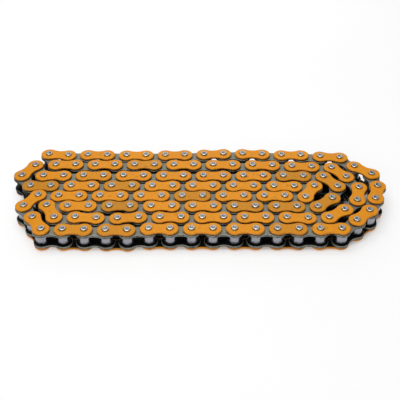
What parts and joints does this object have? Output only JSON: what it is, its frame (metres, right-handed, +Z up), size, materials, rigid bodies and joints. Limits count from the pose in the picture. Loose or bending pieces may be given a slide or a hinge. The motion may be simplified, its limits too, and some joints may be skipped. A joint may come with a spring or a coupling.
{
  "type": "roller chain",
  "caption": "Endless motorcycle roller chain with orange outer plates and grey inner plates, packed flat in nested rows; its back row swings open.",
  "frame": {"origin": "middle of the packed loop's footprint, at the bottom ends of the pins, where it rests", "axes": "+X along the rows, to the right; +Y from the front row to the back row that swings open; +Z up along the pins"},
  "size_m": [0.2352, 0.0868, 0.0151],
  "materials": {
    "orange_plate": "satin orange coat over steel",
    "grey_plate": "satin grey",
    "pin_steel": "bright, riveted ends",
    "bush_steel": "oiled",
    "roller_steel": "smooth, lavender grey"
  },
  "bodies": {
    "loop": {"loop_outer_plates_top": "orange_plate", "loop_outer_plates_bottom": "orange_plate", "loop_inner_plates_top": "grey_plate", "loop_inner_plates_bottom": "grey_plate", "loop_pins": "pin_steel", "loop_bushes": "bush_steel", "loop_rollers": "roller_steel"},
    "link_00": {"link_00_plates": "orange_plate", "link_00_pins": "pin_steel"},
    "link_01": {"link_01_plates": "grey_plate", "link_01_bushes": "bush_steel"},
    "link_02": {"link_02_plates": "orange_plate", "link_02_pins": "pin_steel"},
    "link_03": {"link_03_plates": "grey_plate", "link_03_bushes": "bush_steel"},
    "link_04": {"link_04_plates": "orange_plate", "link_04_pins": "pin_steel"},
    "link_05": {"link_05_plates": "grey_plate", "link_05_bushes": "bush_steel"},
    "link_06": {"link_06_plates": "orange_plate", "link_06_pins": "pin_steel"},
    "link_07": {"link_07_plates": "grey_plate", "link_07_bushes": "bush_steel"},
    "link_08": {"link_08_plates": "orange_plate", "link_08_pins": "pin_steel", "link_08_stubs": "pin_steel"},
    "link_09": {"link_09_plates": "grey_plate", "link_09_bushes": "bush_steel"},
    "link_10": {"link_10_plates": "orange_plate", "link_10_pins": "pin_steel"},
    "link_11": {"link_11_plates": "grey_plate", "link_11_bushes": "bush_steel"},
    "link_12": {"link_12_plates": "orange_plate", "link_12_pins": "pin_steel"},
    "link_13": {"link_13_plates": "grey_plate", "link_13_bushes": "bush_steel"},
    "link_14": {"link_14_plates": "orange_plate", "link_14_pins": "pin_steel"},
    "link_15": {"link_15_plates": "grey_plate", "link_15_bushes": "bush_steel"},
    "roller_01": {"roller_01": "roller_steel"},
    "roller_02": {"roller_02": "roller_steel"},
    "roller_03": {"roller_03": "roller_steel"},
    "roller_04": {"roller_04": "roller_steel"},
    "roller_05": {"roller_05": "roller_steel"},
    "roller_06": {"roller_06": "roller_steel"},
    "roller_07": {"roller_07": "roller_steel"},
    "roller_08": {"roller_08": "roller_steel"},
    "roller_09": {"roller_09": "roller_steel"},
    "roller_10": {"roller_10": "roller_steel"},
    "roller_11": {"roller_11": "roller_steel"},
    "roller_12": {"roller_12": "roller_steel"},
    "roller_13": {"roller_13": "roller_steel"},
    "roller_14": {"roller_14": "roller_steel"},
    "roller_15": {"roller_15": "roller_steel"},
    "roller_16": {"roller_16": "roller_steel"}
  },
  "joints": [
    {"name": "pivot_00", "type": "hinge", "parent": "loop", "child": "link_00", "pos_m": [-0.09796, 0.03732, 0.00755], "axis": [0, 0, 1], "range_deg": [0, 40]},
    {"name": "pivot_01", "type": "hinge", "parent": "link_00", "child": "link_01", "pos_m": [-0.0853, 0.03622, 0.00755], "axis": [0, 0, 1], "range_deg": [0, 40]},
    {"name": "pivot_02", "type": "hinge", "parent": "link_01", "child": "link_02", "pos_m": [-0.07261, 0.03666, 0.00755], "axis": [0, 0, 1], "range_deg": [0, 40]},
    {"name": "pivot_03", "type": "hinge", "parent": "link_02", "child": "link_03", "pos_m": [-0.05991, 0.03644, 0.00755], "axis": [0, 0, 1], "range_deg": [0, 40]},
    {"name": "pivot_04", "type": "hinge", "parent": "link_03", "child": "link_04", "pos_m": [-0.04722, 0.03622, 0.00755], "axis": [0, 0, 1], "range_deg": [0, 40]},
    {"name": "pivot_05", "type": "hinge", "parent": "link_04", "child": "link_05", "pos_m": [-0.03451, 0.03622, 0.00755], "axis": [0, 0, 1], "range_deg": [0, 40]},
    {"name": "pivot_06", "type": "hinge", "parent": "link_05", "child": "link_06", "pos_m": [-0.02182, 0.03644, 0.00755], "axis": [0, 0, 1], "range_deg": [0, 40]},
    {"name": "pivot_07", "type": "hinge", "parent": "link_06", "child": "link_07", "pos_m": [-0.00912, 0.03666, 0.00755], "axis": [0, 0, 1], "range_deg": [0, 40]},
    {"name": "pivot_16", "type": "hinge", "parent": "loop", "child": "link_15", "pos_m": [0.10045, 0.0245, 0.00755], "axis": [0, 0, -1], "range_deg": [0, 40]},
    {"name": "pivot_15", "type": "hinge", "parent": "link_15", "child": "link_14", "pos_m": [0.09229, 0.03422, 0.00755], "axis": [0, 0, -1], "range_deg": [0, 40]},
    {"name": "pivot_14", "type": "hinge", "parent": "link_14", "child": "link_13", "pos_m": [0.07964, 0.03533, 0.00755], "axis": [0, 0, -1], "range_deg": [0, 40]},
    {"name": "pivot_13", "type": "hinge", "parent": "link_13", "child": "link_12", "pos_m": [0.06701, 0.03666, 0.00755], "axis": [0, 0, -1], "range_deg": [0, 40]},
    {"name": "pivot_12", "type": "hinge", "parent": "link_12", "child": "link_11", "pos_m": [0.05431, 0.03666, 0.00755], "axis": [0, 0, -1], "range_deg": [0, 40]},
    {"name": "pivot_11", "type": "hinge", "parent": "link_11", "child": "link_10", "pos_m": [0.04164, 0.03755, 0.00755], "axis": [0, 0, -1], "range_deg": [0, 40]},
    {"name": "pivot_10", "type": "hinge", "parent": "link_10", "child": "link_09", "pos_m": [0.02895, 0.03799, 0.00755], "axis": [0, 0, -1], "range_deg": [0, 40]},
    {"name": "pivot_09", "type": "hinge", "parent": "link_09", "child": "link_08", "pos_m": [0.01625, 0.03799, 0.00755], "axis": [0, 0, -1], "range_deg": [0, 40]},
    {"name": "roller_01_spin", "type": "hinge", "parent": "link_01", "child": "roller_01", "pos_m": [-0.0853, 0.03622, 0.00755], "axis": [0, 0, 1], "continuous": true},
    {"name": "roller_02_spin", "type": "hinge", "parent": "link_01", "child": "roller_02", "pos_m": [-0.07261, 0.03666, 0.00755], "axis": [0, 0, 1], "continuous": true},
    {"name": "roller_03_spin", "type": "hinge", "parent": "link_03", "child": "roller_03", "pos_m": [-0.05991, 0.03644, 0.00755], "axis": [0, 0, 1], "continuous": true},
    {"name": "roller_04_spin", "type": "hinge", "parent": "link_03", "child": "roller_04", "pos_m": [-0.04722, 0.03622, 0.00755], "axis": [0, 0, 1], "continuous": true},
    {"name": "roller_05_spin", "type": "hinge", "parent": "link_05", "child": "roller_05", "pos_m": [-0.03451, 0.03622, 0.00755], "axis": [0, 0, 1], "continuous": true},
    {"name": "roller_06_spin", "type": "hinge", "parent": "link_05", "child": "roller_06", "pos_m": [-0.02182, 0.03644, 0.00755], "axis": [0, 0, 1], "continuous": true},
    {"name": "roller_07_spin", "type": "hinge", "parent": "link_07", "child": "roller_07", "pos_m": [-0.00912, 0.03666, 0.00755], "axis": [0, 0, 1], "continuous": true},
    {"name": "roller_08_spin", "type": "hinge", "parent": "link_07", "child": "roller_08", "pos_m": [0.00356, 0.03732, 0.00755], "axis": [0, 0, 1], "continuous": true},
    {"name": "roller_09_spin", "type": "hinge", "parent": "link_09", "child": "roller_09", "pos_m": [0.01625, 0.03799, 0.00755], "axis": [0, 0, 1], "continuous": true},
    {"name": "roller_10_spin", "type": "hinge", "parent": "link_09", "child": "roller_10", "pos_m": [0.02895, 0.03799, 0.00755], "axis": [0, 0, 1], "continuous": true},
    {"name": "roller_11_spin", "type": "hinge", "parent": "link_11", "child": "roller_11", "pos_m": [0.04164, 0.03755, 0.00755], "axis": [0, 0, 1], "continuous": true},
    {"name": "roller_12_spin", "type": "hinge", "parent": "link_11", "child": "roller_12", "pos_m": [0.05431, 0.03666, 0.00755], "axis": [0, 0, 1], "continuous": true},
    {"name": "roller_13_spin", "type": "hinge", "parent": "link_13", "child": "roller_13", "pos_m": [0.06701, 0.03666, 0.00755], "axis": [0, 0, 1], "continuous": true},
    {"name": "roller_14_spin", "type": "hinge", "parent": "link_13", "child": "roller_14", "pos_m": [0.07964, 0.03533, 0.00755], "axis": [0, 0, 1], "continuous": true},
    {"name": "roller_15_spin", "type": "hinge", "parent": "link_15", "child": "roller_15", "pos_m": [0.09229, 0.03422, 0.00755], "axis": [0, 0, 1], "continuous": true},
    {"name": "roller_16_spin", "type": "hinge", "parent": "link_15", "child": "roller_16", "pos_m": [0.10045, 0.0245, 0.00755], "axis": [0, 0, 1], "continuous": true}
  ]
}
